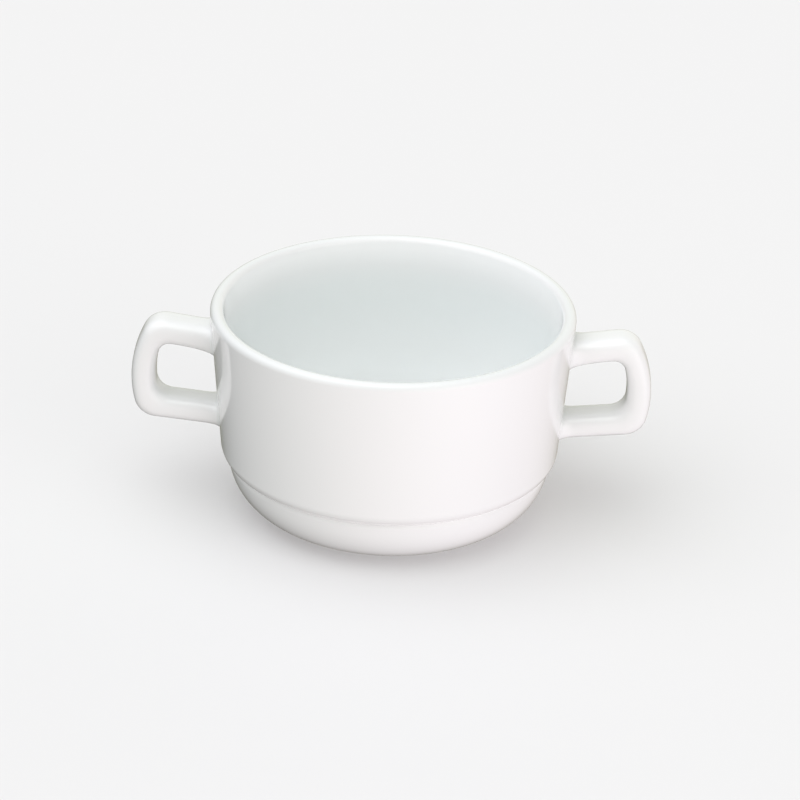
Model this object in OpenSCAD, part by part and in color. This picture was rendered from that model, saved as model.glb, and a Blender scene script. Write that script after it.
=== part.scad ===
// Stacking consomme bowl with two luted handles, in glazed white hotel ware.
// The bowl stands on z = 0 with its axis on Z, and its handles lie along X.

/* [Bowl] */
// Outer diameter across the rim
rim_d = 108; // [96:0.5:124]
// Height from the foot to the top of the rim
bowl_h = 65; // [62:0.5:80]
// Thickness of the rounded rim
rim_t = 4; // [3:0.1:5]
// How far the wall leans in between the rim and the shoulder
wall_draft = 3.5; // [2.5:0.1:4.5]
// Radius of the shoulder under the wall
shoulder_r = 4.5; // [3:0.1:6]
// Height of the step line between the shoulder and the base
step_z = 18.1; // [15:0.1:22]
// Room between the base and the rim of the bowl that it stacks into
stack_gap = 1.8; // [1.2:0.1:2.6]
// Straight side of the base under the step line
base_side = 0.1; // [0.1:0.1:2]
// Wall thickness at the shoulder
wall_t = 4.7; // [3.8:0.1:6]
// Thickness of the floor
floor_t = 4.3; // [3:0.1:6]
// Radius inside, between the wall and the floor
inner_r = 18; // [12:0.5:22]

/* [Foot ring] */
// Distance from the base's side in to the foot ring
foot_inset = 15.2; // [12:0.2:18]
// Width of the foot ring
foot_w = 4; // [3:0.1:6]
// How far the foot ring stands below the base
foot_drop = 0.5; // [0.3:0.1:1.5]
// Radius on the edges of the foot ring
foot_edge_r = 1; // [0.5:0.1:1.4]
// Depth of the recess inside the foot ring
recess_h = 2; // [1.5:0.1:3]

/* [Handles] */
// How far each handle stands out past the rim
handle_reach = 23.25; // [18:0.25:28]
// Width of the handle's bar, along the rim
handle_w = 11; // [8:0.5:14]
// Thickness of the leg and the lower bar, seen from the side
bar_t = 7.3; // [5:0.1:8]
// Thickness of the upper bar, seen from the side
upper_bar_t = 7.4; // [5.5:0.1:8.5]
// Height of the handle's outline at the wall
handle_h = 31.4; // [28:0.2:34]
// Drop from the top of the rim to the handle's top edge
handle_drop = 7.8; // [5:0.1:10]
// Rise of the upper bar towards its end, in degrees
upper_rise = 8.2; // [3:0.2:9]
// Rise of the lower bar towards its end, in degrees
lower_rise = 5.8; // [2:0.2:7]
// Bow radius of the leg's outer side
leg_bow_r = 33; // [26:0.5:60]
// Drop of that bow's centre below the middle of the handle
leg_bow_drop = 1.1; // [0:0.1:3]
// Bow radius of the leg's inner side
grip_bow_r = 29; // [22:0.5:60]
// Radius of the handle's outer corners
corner_r = 6.7; // [5:0.1:9]
// Radius of the finger gap's upper corner
gap_upper_r = 3.6; // [2:0.1:5]
// Radius of the finger gap's lower corner
gap_lower_r = 5.4; // [3:0.1:6.5]
// Flare under the upper bar where it meets the wall
root_flare = 1.2; // [0.5:0.1:2.5]
// Length of that flare along the bar
root_flare_len = 10; // [5:0.5:12]

/* [Slip joints] */
// Thickness of the slip between the handle and the wall
slip_t = 1.2; // [0.8:0.1:2]
// How far the slip spreads past the bar on the wall
slip_spread = 0.6; // [0.3:0.1:2]

/* [Hidden] */
$fn = 120;

glaze_white = [0.95, 0.955, 0.95];
slip_white = [0.91, 0.915, 0.91];

// Centres of the round parts of the bowl's section, as radius and height
rim_r = rim_d / 2;
rim_c = [rim_r - rim_t / 2, bowl_h - rim_t / 2];
base_out_r = rim_r - rim_t - stack_gap;
base_curve_r = step_z - base_side - foot_drop;
base_c = [base_out_r - base_curve_r, foot_drop + base_curve_r];
shoulder_x = rim_r - wall_draft - shoulder_r;
shoulder_c = [shoulder_x, step_z + sqrt(pow(shoulder_r, 2) - pow(base_out_r - shoulder_x, 2))];
floor_z = recess_h + floor_t;
inner_c = [rim_r - wall_draft - wall_t - inner_r, floor_z + inner_r];

// Headings of the normals of the outer and the inner wall lines
outer_a = tangent_heading(shoulder_c - rim_c, rim_t / 2 - shoulder_r);
inner_a = tangent_heading(inner_c - rim_c, -rim_t / 2 - inner_r);
outer_n = direction(outer_a);

// Foot ring
foot_r = base_out_r - foot_inset;
foot_in_r = foot_r - foot_w;

// Handle outline in the plane of the handle, as radius and height
leg_x = rim_r + handle_reach;
top_p = [rim_r, bowl_h - handle_drop];
bottom_p = [rim_r, bowl_h - handle_drop - handle_h];
middle_z = bowl_h - handle_drop - handle_h / 2;
root_depth = 2.5;
root_x = rim_r - wall_draft - root_depth;

// Steps of the curves, and facets of the handle loft
arc_step = 5;
section_power = 3.4;
section_steps = 28;
bar_steps = 6;
turn_steps = 7;
slip_rings = [-0.4, 0.2, 0.45, 0.7, 1.5];
cut_margin = 6;

function direction(a) = [cos(a), sin(a)];
function heading(v) = atan2(v[1], v[0]);

// Heading of the normal whose line passes two circles a distance v apart, offset by shift
function tangent_heading(v, shift) = heading(v) + acos(shift / norm(v));

// Height of the base's underside at radius r
function base_under(r) =
    r <= base_c[0] ? foot_drop : base_c[1] - sqrt(pow(base_curve_r, 2) - pow(r - base_c[0], 2));

// Radius of the outer wall at height z
function wall_r(z) = (outer_n * rim_c + rim_t / 2 - outer_n[1] * z) / outer_n[0];

// Points of an arc round c from heading a to heading b
function arc(c, r, a, b) =
    [for (t = spread(a, b, ceil(abs(b - a) / arc_step))) c + r * direction(t)];

function spread(a, b, n) = [for (k = [0 : n]) a + (b - a) * k / n];
function spread_on(a, b, n) = [for (k = [1 : n]) a + (b - a) * k / n];

// Heights of the edges of a bar at radius x
function top_edge(x) = top_p[1] + (x - top_p[0]) * tan(upper_rise);
function bottom_edge(x) = bottom_p[1] + (x - bottom_p[0]) * tan(lower_rise);
function gap_roof(x) = top_edge(x) - upper_bar_t / cos(upper_rise);
function gap_floor(x) = bottom_edge(x) + bar_t / cos(lower_rise);
function flare(x) = root_flare * pow(max(0, 1 - (x - wall_r(gap_roof(x))) / root_flare_len), 2);

// Centre of a corner of signed radius r that touches the edge through p and the bow around bow_c
function corner_centre(p, rise, r, bow_c, bow_r) =
    let (
        d = direction(rise),
        start = p + r * [-d[1], d[0]] - bow_c,
        along = start * d
    )
    bow_c + start + d * (sqrt(along * along - start * start + pow(bow_r - abs(r), 2)) - along);

// One outline of the handle: along the upper bar, round the leg and back along the lower bar
function outline(up_inset, inset, up_r, low_r, bow_r, bow_z) =
    let (
        bow_c = [leg_x - inset - bow_r, bow_z],
        up_p = top_p - [0, up_inset / cos(upper_rise)],
        low_p = bottom_p + [0, inset / cos(lower_rise)],
        up_c = corner_centre(up_p, upper_rise, -up_r, bow_c, bow_r),
        low_c = corner_centre(low_p, lower_rise, low_r, bow_c, bow_r),
        up_a = heading(up_c - bow_c),
        low_a = heading(low_c - bow_c),
        up_end = up_c + up_r * direction(upper_rise + 90),
        low_end = low_c + low_r * direction(lower_rise - 90)
    )
    concat(
        [for (x = spread(root_x, up_end[0], bar_steps)) [x, up_p[1] + (x - up_p[0]) * tan(upper_rise)]],
        [for (a = spread_on(upper_rise + 90, up_a, turn_steps)) up_c + up_r * direction(a)],
        [for (a = spread_on(up_a, low_a, turn_steps)) bow_c + bow_r * direction(a)],
        [for (a = spread_on(low_a, lower_rise - 90, turn_steps)) low_c + low_r * direction(a)],
        [for (x = spread_on(low_end[0], root_x, bar_steps)) [x, low_p[1] + (x - low_p[0]) * tan(lower_rise)]]
    );

// Rounded-square section: the share of the half size at angle a
function soft_cos(a) = sign(cos(a)) * pow(abs(cos(a)), 2 / section_power);
function soft_sin(a) = sign(sin(a)) * pow(abs(sin(a)), 2 / section_power);
section_angles = [for (k = [0 : section_steps - 1]) 360 * k / section_steps];

// Faces of a loft through rings of equal length
function loft_faces(rings, n) = concat(
    [[for (k = [0 : n - 1]) k]],
    [[for (k = [n - 1 : -1 : 0]) (rings - 1) * n + k]],
    [for (i = [0 : rings - 2], k = [0 : n - 1])
        [i * n + k, (i + 1) * n + k, (i + 1) * n + (k + 1) % n]],
    [for (i = [0 : rings - 2], k = [0 : n - 1])
        [i * n + k, (i + 1) * n + (k + 1) % n, i * n + (k + 1) % n]]
);

module loft(rings) {
    polyhedron(
        points = [for (ring = rings) each ring],
        faces = loft_faces(len(rings), len(rings[0]))
    );
}

// Everything inside the outer wall's cone, grown by extra, over the height of the handles
module wall_cone(extra) {
    low_z = bottom_p[1] - cut_margin;
    high_z = top_p[1] + cut_margin;
    translate([0, 0, low_z])
        cylinder(h = high_z - low_z, r1 = wall_r(low_z) + extra, r2 = wall_r(high_z) + extra);
}

// Half of the bowl's section: foot ring, base, shoulder, wall and rim outside, then the inside
module bowl_section() {
    side_z = base_under(foot_r);
    outer_edge_r = min(foot_edge_r, side_z);
    polygon(concat(
        [[0, recess_h], [foot_in_r, recess_h]],
        arc([foot_in_r + foot_edge_r, foot_edge_r], foot_edge_r, 180, 270),
        arc([foot_r - outer_edge_r, outer_edge_r], outer_edge_r, -90, 0),
        arc(base_c, base_curve_r, foot_r > base_c[0] ? heading([foot_r, side_z] - base_c) : -90, 0),
        arc(shoulder_c, shoulder_r, heading([base_out_r, step_z] - shoulder_c), outer_a),
        arc(rim_c, rim_t / 2, outer_a, inner_a + 180),
        arc(inner_c, inner_r, inner_a, -90),
        [[0, floor_z]]
    ));
}

module bowl_body() {
    color(glaze_white) rotate_extrude() bowl_section();
}

// Handle at the right side, ending on the slip
module handle_casting() {
    outer = outline(0, 0, corner_r, corner_r, leg_bow_r, middle_z - leg_bow_drop);
    inner = outline(upper_bar_t, bar_t, gap_upper_r, gap_lower_r, grip_bow_r, middle_z);
    difference() {
        loft([
            for (k = [0 : len(outer) - 1])
                let (
                    grip = inner[k] - (k <= bar_steps ? [0, flare(inner[k][0])] : [0, 0]),
                    mid = (outer[k] + grip) / 2,
                    half = (outer[k] - grip) / 2
                )
                [for (a = section_angles)
                    let (p = mid + half * soft_cos(a))
                    [p[0], handle_w / 2 * soft_sin(a), p[1]]]
        ]);
        wall_cone(slip_t);
    }
}

// Slip between the wall and one bar of the right handle, spreading out on to the wall
module slip_joint(upper) {
    difference() {
        intersection() {
            loft([
                for (d = slip_t * slip_rings)
                    let (
                        extra = slip_spread * pow(max(0, 1 - d / slip_t), 2),
                        x = wall_r(upper ? top_p[1] : bottom_p[1]) + d,
                        low = upper ? gap_roof(x) - flare(x) : bottom_edge(x),
                        high = upper ? top_edge(x) : gap_floor(x),
                        half_h = (high - low) / 2 + extra,
                        half_w = handle_w / 2 + extra
                    )
                    [for (a = section_angles)
                        let (
                            y = half_w * soft_sin(a),
                            z = (high + low) / 2 + half_h * soft_cos(a)
                        )
                        [sqrt(pow(wall_r(z) + d, 2) - y * y), y, z]]
            ]);
            wall_cone(slip_t);
        }
        wall_cone(0);
    }
}

module right_handle() {
    color(glaze_white) handle_casting();
}

module left_handle() {
    color(glaze_white) rotate([0, 0, 180]) handle_casting();
}

module right_upper_slip() {
    color(slip_white) slip_joint(true);
}

module right_lower_slip() {
    color(slip_white) slip_joint(false);
}

module left_upper_slip() {
    color(slip_white) rotate([0, 0, 180]) slip_joint(true);
}

module left_lower_slip() {
    color(slip_white) rotate([0, 0, 180]) slip_joint(false);
}

bowl_body();
left_handle();
right_handle();
left_upper_slip();
left_lower_slip();
right_upper_slip();
right_lower_slip();
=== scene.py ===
import math

import bmesh
import bpy
from mathutils import Matrix, Vector


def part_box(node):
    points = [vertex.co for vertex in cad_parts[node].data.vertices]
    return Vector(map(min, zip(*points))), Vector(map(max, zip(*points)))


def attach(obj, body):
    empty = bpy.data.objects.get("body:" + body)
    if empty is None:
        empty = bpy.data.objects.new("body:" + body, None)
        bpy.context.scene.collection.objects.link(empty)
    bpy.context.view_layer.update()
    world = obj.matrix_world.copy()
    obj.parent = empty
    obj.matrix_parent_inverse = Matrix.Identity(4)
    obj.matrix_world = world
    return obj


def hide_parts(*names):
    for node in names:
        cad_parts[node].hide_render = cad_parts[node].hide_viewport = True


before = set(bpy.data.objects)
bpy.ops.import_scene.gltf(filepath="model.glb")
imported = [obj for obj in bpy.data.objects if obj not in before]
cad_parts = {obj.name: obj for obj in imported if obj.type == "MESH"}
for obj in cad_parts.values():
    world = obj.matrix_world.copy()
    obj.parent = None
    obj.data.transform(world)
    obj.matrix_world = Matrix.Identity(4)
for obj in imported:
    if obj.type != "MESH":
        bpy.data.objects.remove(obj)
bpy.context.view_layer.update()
scene = bpy.context.scene
mm = 0.001  # sizes below are millimetres, headings are degrees

# the photographed view
shot = {
    "lookAt": (0, 0, 30),
    "distance": 1100,
    "azimuth": 0.97,
    "elevation": 26.32,
    "roll": 1.84,
    "focalPixels": 3682,
    "lookAtPixel": (390.2, 412.7),
    "imagePixels": 800,
    "sensorWidth": 36,
    "clip": (50, 20000),
}


def makeCamera(shot):
    azimuth, elevation, roll = (math.radians(shot[key]) for key in ("azimuth", "elevation", "roll"))
    lens = bpy.data.cameras.new("photoCamera")
    lens.sensor_width = shot["sensorWidth"]
    lens.lens = shot["focalPixels"] / shot["imagePixels"] * shot["sensorWidth"]
    lens.clip_start, lens.clip_end = (far * mm for far in shot["clip"])
    ahead = Vector((
        -math.sin(azimuth) * math.cos(elevation),
        math.cos(azimuth) * math.cos(elevation),
        -math.sin(elevation),
    ))
    level = ahead.cross(Vector((0, 0, 1))).normalized()
    upright = level.cross(ahead)
    right = level * math.cos(roll) + upright * math.sin(roll)
    up = upright * math.cos(roll) - level * math.sin(roll)
    # the bowl stands a little off the middle of the picture
    middle = shot["imagePixels"] / 2
    aside = math.atan2(shot["lookAtPixel"][0] - middle, shot["focalPixels"])
    above = math.atan2(middle - shot["lookAtPixel"][1], shot["focalPixels"])
    right, forward = (
        right * math.cos(aside) + ahead * math.sin(aside),
        ahead * math.cos(aside) - right * math.sin(aside),
    )
    up, forward = (
        up * math.cos(above) + forward * math.sin(above),
        forward * math.cos(above) - up * math.sin(above),
    )
    camera = bpy.data.objects.new("photoCamera", lens)
    camera.location = (Vector(shot["lookAt"]) - ahead * shot["distance"]) * mm
    camera.rotation_mode = "QUATERNION"
    camera.rotation_quaternion = Matrix((right, up, -forward)).transposed().to_quaternion()
    scene.collection.objects.link(camera)
    scene.camera = camera


makeCamera(shot)
print("camera placed")


# node helpers, for shapes and materials alike
def addNode(tree, kind, feeds=None, **settings):
    node = tree.nodes.new(kind)
    for name, value in settings.items():
        setattr(node, name, value)
    for key, feed in (feeds or {}).items():
        if isinstance(feed, bpy.types.NodeSocket):
            tree.links.new(feed, node.inputs[key])
        else:
            node.inputs[key].default_value = feed
    return node


def calc(tree, operation, *values):
    return addNode(tree, "ShaderNodeMath", dict(enumerate(values)), operation=operation).outputs[0]


def vectorCalc(tree, operation, feeds, output=0):
    return addNode(tree, "ShaderNodeVectorMath", feeds, operation=operation).outputs[output]


# a Mix node has its own sockets for colours and for vectors
def blendColour(tree, share, first, second):
    feeds = {0: share, 6: first, 7: second}
    return addNode(tree, "ShaderNodeMix", feeds, data_type="RGBA").outputs[2]


def midPoint(tree, first, second):
    feeds = {0: 0.5, 4: first, 5: second}
    return addNode(tree, "ShaderNodeMix", feeds, data_type="VECTOR").outputs[1]


def rescale(tree, value, low, high):
    feeds = {"Value": value, "To Min": low, "To Max": high}
    return addNode(tree, "ShaderNodeMapRange", feeds).outputs[0]


def noise(tree, place, scale, detail=2):
    feeds = {"Vector": place, "Scale": scale, "Detail": detail, "Roughness": 0.5}
    return addNode(tree, "ShaderNodeTexNoise", feeds).outputs[0]


def newMaterial(name):
    material = bpy.data.materials.new(name)
    material.use_nodes = True
    tree = material.node_tree
    place = addNode(tree, "ShaderNodeTexCoord").outputs["Object"]
    return material, tree, tree.nodes["Principled BSDF"], place


def setBump(tree, shader, height):
    bump = addNode(tree, "ShaderNodeBump", {"Height": height, "Distance": mm, "Strength": 1.0})
    tree.links.new(bump.outputs[0], shader.inputs["Normal"])


# glazes: colour drifts a little, pools cool where the glaze is thick and thins pale on edges; on the
# bowl the same cool and pale colours also carry painted shade and painted light
glazeLooks = {
    "bowlGlaze": {"thinAndPaintedLight": 0.5, "poolAndPaintedShade": 0.5, "ripple": 0.012},
    "handleGlaze": {"thinAndPaintedLight": 0.35, "poolAndPaintedShade": 0.5, "ripple": 0.016},
    "slipGlaze": {"thinAndPaintedLight": 0.2, "poolAndPaintedShade": 0.2, "ripple": 0.016},
}
glazeFinish = {
    "white": (0.825, 0.835, 0.83, 1),
    "drift": (0.81, 0.825, 0.822, 1),
    # cool colour of pooled glaze, also painted shade on the bowl's rim top and inner wall
    "pooledAndPaintedShade": (0.755, 0.79, 0.785, 1),
    # pale colour of thin glaze on edges, also painted light at the step line, the inner rim and the
    # inner wall
    "edge": (0.92, 0.925, 0.922, 1),
    "driftScale": 28,
    "mottleScale": 110,
    "mottleDetail": 4,
    "mottleRange": (0.85, 1.15),
    "smooth": (0.06, 0.13),
    "rippleScale": 85,
    "peelScale": 900,
    "peel": 0.0012,
    "waveDetail": 1,
    "clearcoat": 0.25,
    "clearcoatRoughness": 0.04,
}


def glaze(name):
    look, finish = glazeLooks[name], glazeFinish
    material, tree, shader, place = newMaterial(name)
    glazeDepthAndLight = addNode(tree, "ShaderNodeAttribute", attribute_name="glazeAndPaintedLight").outputs["Fac"]
    thinAndPaintedLight = calc(tree, "MULTIPLY", glazeDepthAndLight, -1.0)
    cloud = noise(tree, place, finish["driftScale"])
    mottle = noise(tree, place, finish["mottleScale"], finish["mottleDetail"])
    patches = rescale(tree, mottle, *finish["mottleRange"])
    colour = blendColour(tree, cloud, finish["white"], finish["drift"])
    # mixes in the cool and the pale colour by the glaze value; on the bowl this is partly painted
    # shade and painted light
    for depth, weight, tint in ((glazeDepthAndLight, look["poolAndPaintedShade"], "pooledAndPaintedShade"), (thinAndPaintedLight, look["thinAndPaintedLight"], "edge")):
        share = calc(tree, "MULTIPLY", calc(tree, "MAXIMUM", depth, 0.0), weight)
        colour = blendColour(tree, calc(tree, "MULTIPLY", share, patches), colour, finish[tint])
    tree.links.new(colour, shader.inputs["Base Color"])
    tree.links.new(rescale(tree, mottle, *finish["smooth"]), shader.inputs["Roughness"])
    # slow ripple of the fired glaze, and fine orange peel over it
    ripple = noise(tree, place, finish["rippleScale"], finish["waveDetail"])
    peel = noise(tree, place, finish["peelScale"], finish["waveDetail"])
    ripple = calc(tree, "MULTIPLY", ripple, look["ripple"])
    peel = calc(tree, "MULTIPLY", peel, finish["peel"])
    setBump(tree, shader, calc(tree, "ADD", ripple, peel))
    shader.inputs["Coat Weight"].default_value = finish["clearcoat"]
    shader.inputs["Coat Roughness"].default_value = finish["clearcoatRoughness"]
    return material


# bare fired clay under the foot ring, with grey rub marks from shelves
biscuitLook = {
    "clay": (0.78, 0.765, 0.73, 1),
    "rubbed": (0.6, 0.595, 0.585, 1),
    "rubScale": 160,
    "rubDetail": 5,
    "rubPower": 3,
    "grainScale": 2400,
    "rough": (0.55, 0.8),
    "grain": 0.02,
}


def biscuit(look):
    material, tree, shader, place = newMaterial("bareFoot")
    rub = noise(tree, place, look["rubScale"], look["rubDetail"])
    rub = calc(tree, "POWER", rub, look["rubPower"])
    grain = noise(tree, place, look["grainScale"])
    colour = blendColour(tree, rub, look["clay"], look["rubbed"])
    tree.links.new(colour, shader.inputs["Base Color"])
    tree.links.new(rescale(tree, grain, *look["rough"]), shader.inputs["Roughness"])
    setBump(tree, shader, calc(tree, "MULTIPLY", grain, look["grain"]))
    return material


bareFoot = biscuit(biscuitLook)
glazes = {name: glaze(name) for name in glazeLooks}
print("materials made")


# plane geometry of the sections, as (radius, height)
def heading(v):
    return math.degrees(math.atan2(v[1], v[0]))


def along(centre, radius, angle):
    turn = math.radians(angle)
    return Vector((centre[0] + radius * math.cos(turn), centre[1] + radius * math.sin(turn)))


def spread(first, last, count):
    return [first + (last - first) * k / count for k in range(count + 1)]


def arc(centre, radius, first, last, step):
    angles = spread(first, last, math.ceil(abs(last - first) / step))
    return [along(centre, radius, angle) for angle in angles]


def tangentHeading(apart, shift):
    return heading(apart) + math.degrees(math.acos(shift / apart.length))


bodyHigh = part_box("bowl_body")[1] / mm
bowl = {
    "rimRadius": bodyHigh.x,
    "height": bodyHigh.z,
    "rimThickness": 4,
    "wallDraft": 3.5,
    "shoulderRadius": 4.5,
    "stepHeight": 17.4,
    "stackGap": 1.8,
    "baseCurve": 17.5,
    "baseEdge": 3.5,  # the base rounds in to the step line
    "baseTurn": -8,
    "wallThickness": 4.7,
    "floorThickness": 4.3,
    "innerRadius": 18,
    "footInset": 15.2,
    "footWidth": 4,
    "footDrop": 0.5,
    "footEdge": 1,
    "recessDepth": 2,
    "bareBelow": 0.05,  # the standing face has no glaze
    "rimTop": (35, 105),  # headings between which the rim's top is painted darker: painted shade on its brightly lit top
    "underShoulder": -20,  # heading below which the colour is painted paler towards the step line: painted light against the crease's shade
    # thickness of the glaze, below 0 where it thins; at the step line, the rim and the inner wall
    # the values are painted light below 0 and painted shade above 0
    "glaze": {
        "recess": 0.3,
        "foot": -0.4,
        "base": 0.1,
        # paler into the step line from the base and from the shoulder: painted light that lifts the
        # crease's shade
        "baseEdge": -0.8,
        "underShoulder": -2.4,
        "wall": 0.0,
        # rim: a little paler outside, painted shade on the top, and painted light along the inner
        # edge as a glow through the thin rim
        "rimOutside": -0.4,
        "rimTop": 0.8,
        "rimInside": -2.0,
        # share of the way down the inner wall, thickness: below 0 painted light under the rim, above
        # 0 painted shade down the middle
        "innerWallPaintedLight": (
            (0.03, -2.0), (0.08, -1.3), (0.15, -0.2), (0.22, 0.8),
            (0.3, 1.4), (0.45, 1.4), (0.6, 0.8), (0.8, 0),
        ),
        # paler where the inner wall turns into the floor: painted light
        "innerTurnPaintedLight": -0.8,
        "floorEdge": 0.3,
        "floor": 0.8,
    },
    "arcStep": 2.5,
    "rimStep": 5,
    "footStep": 10,
    "segments": 256,
}

rim = bowl["rimThickness"] / 2
rimCentre = Vector((bowl["rimRadius"], bowl["height"])) - Vector((1, 1)) * rim
baseRadius = bowl["rimRadius"] - bowl["rimThickness"] - bowl["stackGap"]
baseCentre = Vector((baseRadius, bowl["footDrop"])) + Vector((-1, 1)) * bowl["baseCurve"]
edgeCentre = along(baseCentre, bowl["baseCurve"] - bowl["baseEdge"], bowl["baseTurn"])
edgeEnd = math.degrees(math.asin((bowl["stepHeight"] - edgeCentre.y) / bowl["baseEdge"]))
stepLine = along(edgeCentre, bowl["baseEdge"], edgeEnd)
shoulder = bowl["shoulderRadius"]
shoulderX = bowl["rimRadius"] - bowl["wallDraft"] - shoulder
shoulderRise = math.sqrt(shoulder ** 2 - (stepLine.x - shoulderX) ** 2)
shoulderCentre = Vector((shoulderX, stepLine.y + shoulderRise))
outerHeading = tangentHeading(shoulderCentre - rimCentre, rim - shoulder)


def wallRadius(z):
    normal = along((0, 0), 1, outerHeading)
    return (normal.dot(rimCentre) + rim - normal.y * z) / normal.x


def graded(points, first, last):
    return [([point], glazeDepthAndLight) for point, glazeDepthAndLight in zip(points, spread(first, last, len(points) - 1))]


def bowlSection(bowl):
    # (point, glaze thickness, partly painted light and shade) from the middle of the recess, round
    # the outside, back over the inside
    coat = bowl["glaze"]
    step, rimStep, footStep = bowl["arcStep"], bowl["rimStep"], bowl["footStep"]
    recessZ = bowl["recessDepth"]
    foot = baseRadius - bowl["footInset"]
    footIn = foot - bowl["footWidth"]
    footSide = baseCentre.y - math.sqrt(bowl["baseCurve"] ** 2 - (foot - baseCentre.x) ** 2)
    footStart = heading(Vector((foot, footSide)) - baseCentre)
    footEdge = bowl["footEdge"]
    baseEdge = arc(edgeCentre, bowl["baseEdge"], bowl["baseTurn"], edgeEnd, step)[1:]
    stepStart = heading(stepLine - shoulderCentre)
    underShoulder = arc(shoulderCentre, shoulder, stepStart, bowl["underShoulder"], step)[1:]
    floorZ = recessZ + bowl["floorThickness"]
    inner = bowl["innerRadius"]
    innerX = bowl["rimRadius"] - bowl["wallDraft"] - bowl["wallThickness"] - inner
    innerCentre = Vector((innerX, floorZ + inner))
    innerHeading = tangentHeading(innerCentre - rimCentre, -rim - inner)
    topStart, topEnd = bowl["rimTop"]
    rimOutside = arc(rimCentre, rim, outerHeading, topStart, rimStep)
    rimInside = arc(rimCentre, rim, topEnd, innerHeading + 180, rimStep)[1:]
    innerEdge = arc(innerCentre, inner, innerHeading, -90, step)
    stretches = [
        ([Vector((0, recessZ)), Vector((footIn, recessZ))], coat["recess"]),
        (arc((footIn + footEdge, footEdge), footEdge, 180, 270, footStep), coat["foot"]),
        (arc((foot - footSide, footSide), footSide, -90, 0, footStep), coat["foot"]),
        (arc(baseCentre, bowl["baseCurve"], footStart, bowl["baseTurn"], step), coat["base"]),
        # paler colour into the step line from below and above: painted light in the crease
        *graded(baseEdge, coat["base"], coat["baseEdge"]),
        *graded(underShoulder, coat["underShoulder"], coat["wall"]),
        (arc(shoulderCentre, shoulder, bowl["underShoulder"], outerHeading, step)[1:], coat["wall"]),
        # rim: paler outside, painted shade on the top, painted light on the inner edge
        *graded(rimOutside, coat["rimOutside"], coat["rimTop"]),
        (arc(rimCentre, rim, topStart, topEnd, rimStep)[1:], coat["rimTop"]),
        *graded(rimInside, coat["rimTop"], coat["rimInside"]),
        # inner wall: painted glow under the rim, painted shade down the middle, painted light at the
        # turn to the floor
        *(([rimInside[-1].lerp(innerEdge[0], share)], glazeDepthAndLight) for share, glazeDepthAndLight in coat["innerWallPaintedLight"]),
        *graded(innerEdge, coat["innerTurnPaintedLight"], coat["floorEdge"]),
        ([Vector((0, floorZ))], coat["floor"]),
    ]
    return [(point, glazeDepthAndLight) for points, glazeDepthAndLight in stretches for point in points]


# a tree's sockets, made by name and filled by identifier
def newTree(name, inputs):
    tree = bpy.data.node_groups.new(name, "GeometryNodeTree")
    for label, kind in inputs.items():
        tree.interface.new_socket(label, in_out="INPUT", socket_type="NodeSocket" + kind)
    tree.interface.new_socket("Shape", in_out="OUTPUT", socket_type="NodeSocketGeometry")
    return tree, tree.nodes.new("NodeGroupInput").outputs


mergeDistance = 1e-7  # metres, joins the first and last spoke and the rings that close to a point


def finishTree(tree, grid, point, thickness, materials):
    # the grid gets its glaze value, which also carries painted light and shade, and its places, and
    # then its materials
    feeds = {"Geometry": grid, "Name": "glazeAndPaintedLight", "Value": thickness}
    shape = addNode(tree, "GeometryNodeStoreNamedAttribute", feeds).outputs[0]
    feeds = {"Geometry": shape, "Position": point}
    shape = addNode(tree, "GeometryNodeSetPosition", feeds).outputs[0]
    feeds = {"Geometry": shape, "Distance": mergeDistance}
    shape = addNode(tree, "GeometryNodeMergeByDistance", feeds).outputs[0]
    shape = addNode(tree, "GeometryNodeRealizeInstances", {"Geometry": shape}).outputs[0]
    for feeds in materials:
        shape = addNode(tree, "GeometryNodeSetMaterial", {"Geometry": shape, **feeds}).outputs[0]
    tree.links.new(shape, tree.nodes.new("NodeGroupOutput").inputs[0])


def sample(tree, source, value, index, kind):
    feeds = {"Geometry": source, "Value": value, "Index": index}
    return addNode(tree, "GeometryNodeSampleIndex", feeds, data_type=kind).outputs[0]


def readAttribute(tree, name, kind):
    feeds = {"Name": name}
    return addNode(tree, "GeometryNodeInputNamedAttribute", feeds, data_type=kind).outputs[0]


def sheetOfRings(tree, line, spokes):
    # a grid with a row for each point of the line, the last spoke lying on the first
    rings = addNode(tree, "GeometryNodeAttributeDomainSize", {"Geometry": line}).outputs[0]
    columns = calc(tree, "ADD", spokes, 1.0)
    feeds = {"Vertices X": rings, "Vertices Y": columns}
    grid = addNode(tree, "GeometryNodeMeshGrid", feeds).outputs[0]
    index = tree.nodes.new("GeometryNodeInputIndex").outputs[0]
    ring = calc(tree, "FLOOR", calc(tree, "DIVIDE", calc(tree, "ADD", index, 0.5), columns))
    spoke = calc(tree, "SUBTRACT", index, calc(tree, "MULTIPLY", ring, columns))
    turn = calc(tree, "MULTIPLY", calc(tree, "DIVIDE", spoke, spokes), 2 * math.pi)
    return grid, ring, turn


def turnedBowlTree():
    tree, given = newTree("turnedBowl", {
        "Section": "Geometry",
        "Segments": "Int",
        "Foot Height": "Float",
        "Glaze": "Material",
        "Clay": "Material",
    })
    section = given["Section"]
    grid, ring, turn = sheetOfRings(tree, section, given["Segments"])
    place = tree.nodes.new("GeometryNodeInputPosition").outputs[0]
    point = sample(tree, section, place, ring, "FLOAT_VECTOR")
    point = addNode(tree, "ShaderNodeVectorRotate", {"Vector": point, "Angle": turn}).outputs[0]
    thickness = readAttribute(tree, "glazeAndPaintedLight", "FLOAT")
    thickness = sample(tree, section, thickness, ring, "FLOAT")
    height = addNode(tree, "ShaderNodeSeparateXYZ", {0: place}).outputs["Z"]
    feeds = {"A": height, "B": given["Foot Height"]}
    onFoot = addNode(tree, "FunctionNodeCompare", feeds, operation="LESS_THAN").outputs[0]
    finishTree(tree, grid, point, thickness, [
        {"Material": given["Glaze"]},
        {"Material": given["Clay"], "Selection": onFoot},
    ])
    return tree


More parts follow.
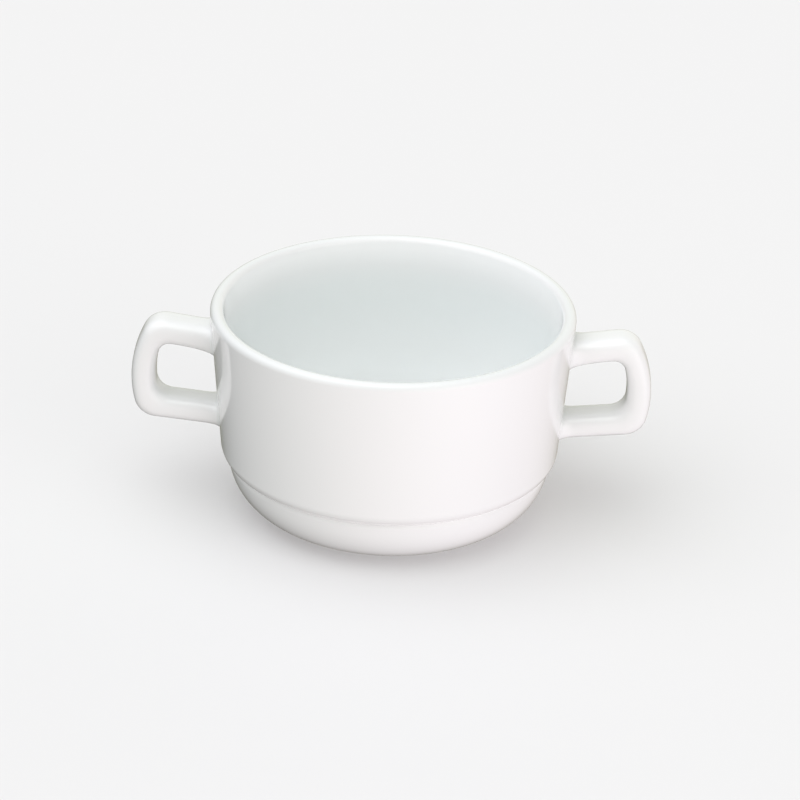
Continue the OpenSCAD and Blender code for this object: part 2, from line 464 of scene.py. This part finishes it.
def barLoftTree():
    # rounded-square rings between an outer and a grip line, seated on the wall's cone at the root
    tree, given = newTree("barLoft", {
        "Line": "Geometry",
        "Width": "Float",
        "Width Power": "Float",
        "Thickness Power": "Float",
        "Section Steps": "Int",
        "Wall Radius": "Float",
        "Wall Lean": "Float",
        "Side": "Float",
        "Glaze": "Material",
    })
    line = given["Line"]
    grid, ring, turn = sheetOfRings(tree, line, given["Section Steps"])

    def perRing(name, kind="FLOAT"):
        return sample(tree, line, readAttribute(tree, name, kind), ring, kind)

    def soft(operation, power):
        wave = calc(tree, operation, turn)
        power = calc(tree, "DIVIDE", 2.0, given[power])
        size = calc(tree, "POWER", calc(tree, "ABSOLUTE", wave), power)
        return calc(tree, "MULTIPLY", size, calc(tree, "SIGN", wave))

    # between the two lines, swollen by the flange of its own side
    place = tree.nodes.new("GeometryNodeInputPosition").outputs[0]
    outer = sample(tree, line, place, ring, "FLOAT_VECTOR")
    middle = midPoint(tree, outer, perRing("grip", "FLOAT_VECTOR"))
    half = vectorCalc(tree, "SUBTRACT", {0: outer, 1: middle})
    reach = vectorCalc(tree, "LENGTH", {0: half}, "Value")
    fill, gripFlange = perRing("fill"), perRing("gripFlange")
    onOuter = calc(tree, "GREATER_THAN", calc(tree, "COSINE", turn), 0.0)
    flange = calc(tree, "SUBTRACT", perRing("outerFlange"), gripFlange)
    flange = calc(tree, "ADD", calc(tree, "MULTIPLY", onOuter, flange), gripFlange)
    swell = calc(tree, "DIVIDE", calc(tree, "ADD", reach, flange), reach)
    across = calc(tree, "MULTIPLY", soft("COSINE", "Thickness Power"), swell)
    across = calc(tree, "MULTIPLY", across, fill)
    offset = vectorCalc(tree, "SCALE", {0: half, "Scale": across})
    point = vectorCalc(tree, "ADD", {0: middle, 1: offset})
    x, y, z = addNode(tree, "ShaderNodeSeparateXYZ", {0: point}).outputs
    halfWidth = calc(tree, "MULTIPLY", given["Width"], 0.5)
    halfWidth = calc(tree, "ADD", halfWidth, perRing("sideFlange"))
    y = calc(tree, "MULTIPLY", soft("SINE", "Width Power"), halfWidth)
    y = calc(tree, "MULTIPLY", y, fill)
    # bent to the wall, less and less away from the root
    wall = calc(tree, "ADD", calc(tree, "MULTIPLY", z, given["Wall Lean"]), given["Wall Radius"])
    wall = calc(tree, "ADD", wall, perRing("standOff"))
    squares = [calc(tree, "POWER", size, 2.0) for size in (wall, y)]
    onWall = calc(tree, "SQRT", calc(tree, "SUBTRACT", *squares))
    bend = calc(tree, "SUBTRACT", onWall, perRing("rootX"))
    x = calc(tree, "ADD", x, calc(tree, "MULTIPLY", bend, perRing("seat")))
    x, y = (calc(tree, "MULTIPLY", size, given["Side"]) for size in (x, y))
    point = addNode(tree, "ShaderNodeCombineXYZ", {"X": x, "Y": y, "Z": z}).outputs[0]
    finishTree(tree, grid, point, perRing("glazeAndPaintedLight"), [{"Material": given["Glaze"]}])
    return tree


sharpAngle = 35  # edges steeper than this stay crisp


def makePiece(name, points, attributes, tree, sizes):
    line = bpy.data.meshes.new(name)
    links = [(k, k + 1) for k in range(len(points) - 1)]
    line.from_pydata([Vector(p) * mm for p in points], links, [])
    for label, values in attributes.items():
        isVector = isinstance(values[0], Vector)
        layer = line.attributes.new(label, "FLOAT_VECTOR" if isVector else "FLOAT", "POINT")
        for item, value in zip(layer.data, values):
            if isVector:
                item.vector = value * mm
            else:
                item.value = value
    piece = bpy.data.objects.new(name, line)
    scene.collection.objects.link(piece)
    modifier = piece.modifiers.new(tree.name, "NODES")
    modifier.node_group = tree
    for item in tree.interface.items_tree:
        if item.in_out == "INPUT" and item.name in sizes:
            modifier[item.identifier] = sizes[item.name]
    graph = bpy.context.evaluated_depsgraph_get()
    shape = bpy.data.meshes.new_from_object(piece.evaluated_get(graph))
    piece.modifiers.remove(modifier)
    piece.data = shape
    shape.name = name
    bpy.data.meshes.remove(line)
    form = bmesh.new()
    form.from_mesh(shape)
    bmesh.ops.recalc_face_normals(form, faces=form.faces)
    for face in form.faces:
        face.smooth = True
    form.to_mesh(shape)
    form.free()
    shape.set_sharp_from_angle(angle=math.radians(sharpAngle))
    return piece


section = bowlSection(bowl)
bowlBody = makePiece(
    "bowlBody",
    [(point.x, 0, point.y) for point, glazeDepthAndLight in section],
    {"glazeAndPaintedLight": [glazeDepthAndLight for point, glazeDepthAndLight in section]},
    turnedBowlTree(),
    {
        "Segments": bowl["segments"],
        "Foot Height": bowl["bareBelow"] * mm,
        "Glaze": glazes["bowlGlaze"],
        "Clay": bareFoot,
    },
)
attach(bowlBody, "root")
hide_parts("bowl_body")
print("bowl turned:", len(bowlBody.data.polygons), "faces")

# handles: an outer and a grip line in the plane through the bowl's axis
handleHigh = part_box("right_handle")[1] / mm
handle = {
    "reach": handleHigh.x,
    "width": 2 * handleHigh.y,
    "fuller": 0.6,  # the glazed bar is a little wider than the solid
    "thickness": 7.3,
    "upperThickness": 7.4,
    "height": 31.4,
    "drop": 7.8,
    "upperRise": 8.2,
    "lowerRise": 5.8,
    "legBow": 33,
    "legBowDrop": 1.1,
    "gripBow": 29,
    "corner": 6.7,
    "gapUpper": 3.6,
    "gapLower": 5.4,
    "flare": 1.2,
    "flareLength": 10,
    "barRings": 18,
    "rootCrowd": 1.6,  # rings lie closer towards the root
    "turnRings": 16,
    "widthPower": 3.6,
    "thicknessPower": 2.4,
    "sectionSteps": 72,
}
slip = {
    "thickness": 1.2,
    "sink": 0.05,  # its feather edge ends just under the wall's glaze
    "blend": 4.5,  # length over which bar and slip swell towards the wall
    "outerSpread": 0.4,
    "gripSpread": 0.25,
    "sideSpread": 1.9,
    "rings": 14,
}
topEdge = Vector((bowl["rimRadius"], bowl["height"] - handle["drop"]))
bottomEdge = topEdge - Vector((0, handle["height"]))


def cornerCentre(edge, rise, radius, bowCentre, bowRadius):
    # centre of a corner that touches a bar's edge and the leg's bow
    way = along((0, 0), 1, rise)
    start = edge + radius * Vector((-way.y, way.x)) - bowCentre
    slide = start.dot(way)
    reach = math.sqrt(slide ** 2 - start.length_squared + (bowRadius - abs(radius)) ** 2)
    return bowCentre + start + way * (reach - slide)


def barEdge(upper, inset):
    start, rise = (topEdge, handle["upperRise"]) if upper else (bottomEdge, handle["lowerRise"])
    shift = inset / math.cos(math.radians(rise))
    return start - Vector((0, shift if upper else -shift))


def onBar(upper, inset, x):
    # point of a bar's edge at radius x, with the flare under the upper root
    edge = barEdge(upper, inset)
    rise = math.radians(handle["upperRise" if upper else "lowerRise"])
    z = edge.y + (x - edge.x) * math.tan(rise)
    if upper and inset:
        far = (x - wallRadius(z)) / handle["flareLength"]
        z -= handle["flare"] * max(0, 1 - far) ** 2
    return Vector((x, z))


def outline(upInset, inset, upCorner, lowCorner, bow, bowDrop, rootX):
    upEdge, lowEdge = barEdge(True, upInset), barEdge(False, inset)
    bowZ = (topEdge.y + bottomEdge.y) / 2 - bowDrop
    bowCentre = Vector((handle["reach"] - inset - bow, bowZ))
    upCentre = cornerCentre(upEdge, handle["upperRise"], -upCorner, bowCentre, bow)
    lowCentre = cornerCentre(lowEdge, handle["lowerRise"], lowCorner, bowCentre, bow)
    upTurn, lowTurn = heading(upCentre - bowCentre), heading(lowCentre - bowCentre)
    upStart, lowEnd = handle["upperRise"] + 90, handle["lowerRise"] - 90
    upX, lowX = along(upCentre, upCorner, upStart).x, along(lowCentre, lowCorner, lowEnd).x
    turns = handle["turnRings"]
    crowd = [share ** handle["rootCrowd"] for share in spread(0, 1, handle["barRings"])]
    return (
        [onBar(True, upInset, rootX[0] + (upX - rootX[0]) * share) for share in crowd]
        + [along(upCentre, upCorner, a) for a in spread(upStart, upTurn, turns)[1:]]
        + [along(bowCentre, bow, a) for a in spread(upTurn, lowTurn, turns)[1:]]
        + [along(lowCentre, lowCorner, a) for a in spread(lowTurn, lowEnd, turns)[1:]]
        + [onBar(False, inset, rootX[1] + (lowX - rootX[1]) * share) for share in crowd[-2::-1]]
    )


def rootSwell(distances):
    # how far a bar or slip stands out near the wall, on its outer side, grip side and flanks
    length = slip["blend"] + slip["sink"]
    near = [max(0, 1 - (d + slip["sink"]) / length) for d in distances]
    shares = [1 - math.sqrt(1 - share ** 2) for share in near]
    return {
        side + "Flange": [share * slip[side + "Spread"] * mm for share in shares]
        for side in ("outer", "grip", "side")
    }


def rootRadius(upper, standOff):
    edge = topEdge if upper else bottomEdge
    return wallRadius(edge.y) + standOff


def lift(point):
    return Vector((point.x, 0, point.y))


capFill = [0, 0.5]  # size of the rings that close an end, as shares of the section


def withCaps(values):
    return values[:1] * len(capFill) + values + values[-1:] * len(capFill)


def fillRings(count):
    return capFill + [1] * count + capFill[::-1]


barLoft = barLoftTree()
loftSizes = {
    "Width": (handle["width"] + handle["fuller"]) * mm,
    "Width Power": handle["widthPower"],
    "Thickness Power": handle["thicknessPower"],
    "Section Steps": handle["sectionSteps"],
    "Wall Radius": wallRadius(0) * mm,
    "Wall Lean": wallRadius(1) - wallRadius(0),
}


def makeHandle(name, side):
    roots = [rootRadius(upper, slip["thickness"]) for upper in (True, False)]
    corner = handle["corner"]
    outer = outline(0, 0, corner, corner, handle["legBow"], handle["legBowDrop"], roots)
    grip = outline(
        handle["upperThickness"], handle["thickness"],
        handle["gapUpper"], handle["gapLower"], handle["gripBow"], 0, roots,
    )
    bars, count = handle["barRings"], len(outer)
    seat = [max(0, 1 - k / bars, 1 - (count - 1 - k) / bars) for k in range(count)]
    rootX = [roots[k > count / 2] for k in range(count)]
    fromWall = [point.x - root + slip["thickness"] for point, root in zip(outer, rootX)]
    return makePiece(
        name,
        withCaps([lift(p) for p in outer]),
        {
            "grip": withCaps([lift(p) for p in grip]),
            "fill": fillRings(count),
            "seat": withCaps(seat),
            "rootX": withCaps([x * mm for x in rootX]),
            **rootSwell(withCaps(fromWall)),
            "standOff": withCaps([slip["thickness"] * mm] * count),
            "glazeAndPaintedLight": withCaps([0.0] * count),
        },
        barLoft,
        {**loftSizes, "Side": side, "Glaze": glazes["handleGlaze"]},
    )


def makeSlip(name, side, upper):
    # from the bar's end down to a feather edge on the wall, in a hollow quarter round
    turns = withCaps([math.radians(a) for a in spread(0, 90, slip["rings"])])
    depth = slip["thickness"] + slip["sink"]
    standOff = [slip["thickness"] - depth * math.sin(t) for t in turns]
    xs = [rootRadius(upper, d) for d in standOff]
    barThickness = handle["upperThickness" if upper else "thickness"]
    return makePiece(
        name,
        [lift(onBar(upper, 0, x)) for x in xs],
        {
            "grip": [lift(onBar(upper, barThickness, x)) for x in xs],
            "fill": fillRings(slip["rings"] + 1),
            "seat": [1.0] * len(xs),
            "rootX": [x * mm for x in xs],
            **rootSwell(standOff),
            "standOff": [d * mm for d in standOff],
            "glazeAndPaintedLight": [math.sin(2 * t) for t in turns],
        },
        barLoft,
        {**loftSizes, "Side": side, "Glaze": glazes["slipGlaze"]},
    )


for sideName, side in (("left", -1.0), ("right", 1.0)):
    bar = makeHandle(sideName + "Handle", side)
    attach(bar, "root")
    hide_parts(sideName + "_handle")
    for rootName, upper in (("Upper", True), ("Lower", False)):
        joint = makeSlip(sideName + rootName + "Slip", side, upper)
        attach(joint, "root")
        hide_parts(f"{sideName}_{rootName.lower()}_slip")
    print(sideName, "handle luted:", len(bar.data.polygons), "faces")

# pale floor, a room of soft light and one beam
floorLook = {
    "half": 3000,
    "pale": (0.78, 0.78, 0.78, 1),
    "shade": (0.772, 0.772, 0.773, 1),
    "scale": 3,
    "rough": 0.7,
}
studio = {
    # broad soft light: heading from the camera's side, elevation, sharpness, colour
    "room": {
        "window": (45, 10, 5, (1.36, 1.34, 1.28)),
        "behindRight": (135, 10, 5, (0.73, 0.70, 0.69)),
        "behind": (180, 10, 5, (0.54, 0.56, 0.42)),
        "backLeft": (240, 45, 5, (0.83, 0.81, 0.86)),
        "left": (300, 45, 5, (1.45, 1.43, 1.48)),
        "aboveFront": (0, 68, 14, (0.83, 0.90, 0.82)),
        "above": (0, 90, 5, (1.36, 1.37, 1.40)),
        # light that a bright table throws up
        "tableFront": (0, -35, 3, (0.94, 0.85, 0.83)),
        "tableRight": (60, -35, 3, (0.88, 0.82, 0.95)),
        "tableBack": (120, -35, 3, (0.38, 0.34, 0.30)),
        "tableLeft": (300, -35, 3, (0.22, 0.27, 0.23)),
    },
    # a narrow beam from nearly overhead into the bowl
    "beam": {
        "heading": 300,
        "elevation": 80,
        "aim": (0, 0, 20),
        "distance": 900,
        "cone": 5.2,
        "softness": 5,
        "watts": 22.7,
        "colour": (0.795, 0.99, 1.0),
    },
}


def lightWay(azimuth, elevation):
    a, e = math.radians(azimuth), math.radians(elevation)
    return Vector((math.sin(a) * math.cos(e), -math.cos(a) * math.cos(e), math.sin(e)))


def makeFloor(look):
    half = look["half"] * mm
    corners = [(-half, -half, 0), (half, -half, 0), (half, half, 0), (-half, half, 0)]
    sheet = bpy.data.meshes.new("floor")
    sheet.from_pydata(corners, [], [(0, 1, 2, 3)])
    floor = bpy.data.objects.new("floor", sheet)
    scene.collection.objects.link(floor)
    material, tree, shader, place = newMaterial("paleFloor")
    drift = noise(tree, place, look["scale"])
    colour = blendColour(tree, drift, look["pale"], look["shade"])
    tree.links.new(colour, shader.inputs["Base Color"])
    shader.inputs["Roughness"].default_value = look["rough"]
    sheet.materials.append(material)
    # the room lights the bowl from below too, in place of the floor
    floor.visible_glossy = False
    floor.visible_diffuse = False
    floor.visible_shadow = False


def makeRoom(lobes):
    room = bpy.data.worlds.new("softRoom")
    room.use_nodes = True
    tree = room.node_tree
    ray = addNode(tree, "ShaderNodeTexCoord").outputs["Generated"]
    total = None
    for azimuth, elevation, sharpness, colour in lobes.values():
        feeds = {0: ray, 1: lightWay(azimuth, elevation)}
        facing = calc(tree, "MAXIMUM", vectorCalc(tree, "DOT_PRODUCT", feeds, "Value"), 0.0)
        lobe = calc(tree, "POWER", facing, sharpness)
        part = vectorCalc(tree, "SCALE", {0: colour, "Scale": lobe})
        total = part if total is None else vectorCalc(tree, "ADD", {0: total, 1: part})
    tree.links.new(total, tree.nodes["Background"].inputs["Color"])
    scene.world = room


def makeBeam(beam):
    lamp = bpy.data.lights.new("beam", "SPOT")
    lamp.energy = beam["watts"]
    lamp.color = beam["colour"]
    lamp.spot_size = math.radians(beam["cone"])
    lamp.spot_blend = 1
    lamp.shadow_soft_size = beam["softness"] * mm
    way = lightWay(beam["heading"], beam["elevation"])
    light = bpy.data.objects.new("beam", lamp)
    light.location = (Vector(beam["aim"]) + way * beam["distance"]) * mm
    light.rotation_mode = "QUATERNION"
    light.rotation_quaternion = way.to_track_quat("Z", "Y")
    scene.collection.objects.link(light)


makeFloor(floorLook)
makeRoom(studio["room"])
makeBeam(studio["beam"])
scene.view_settings.view_transform = "Standard"
print("floor and lights set")
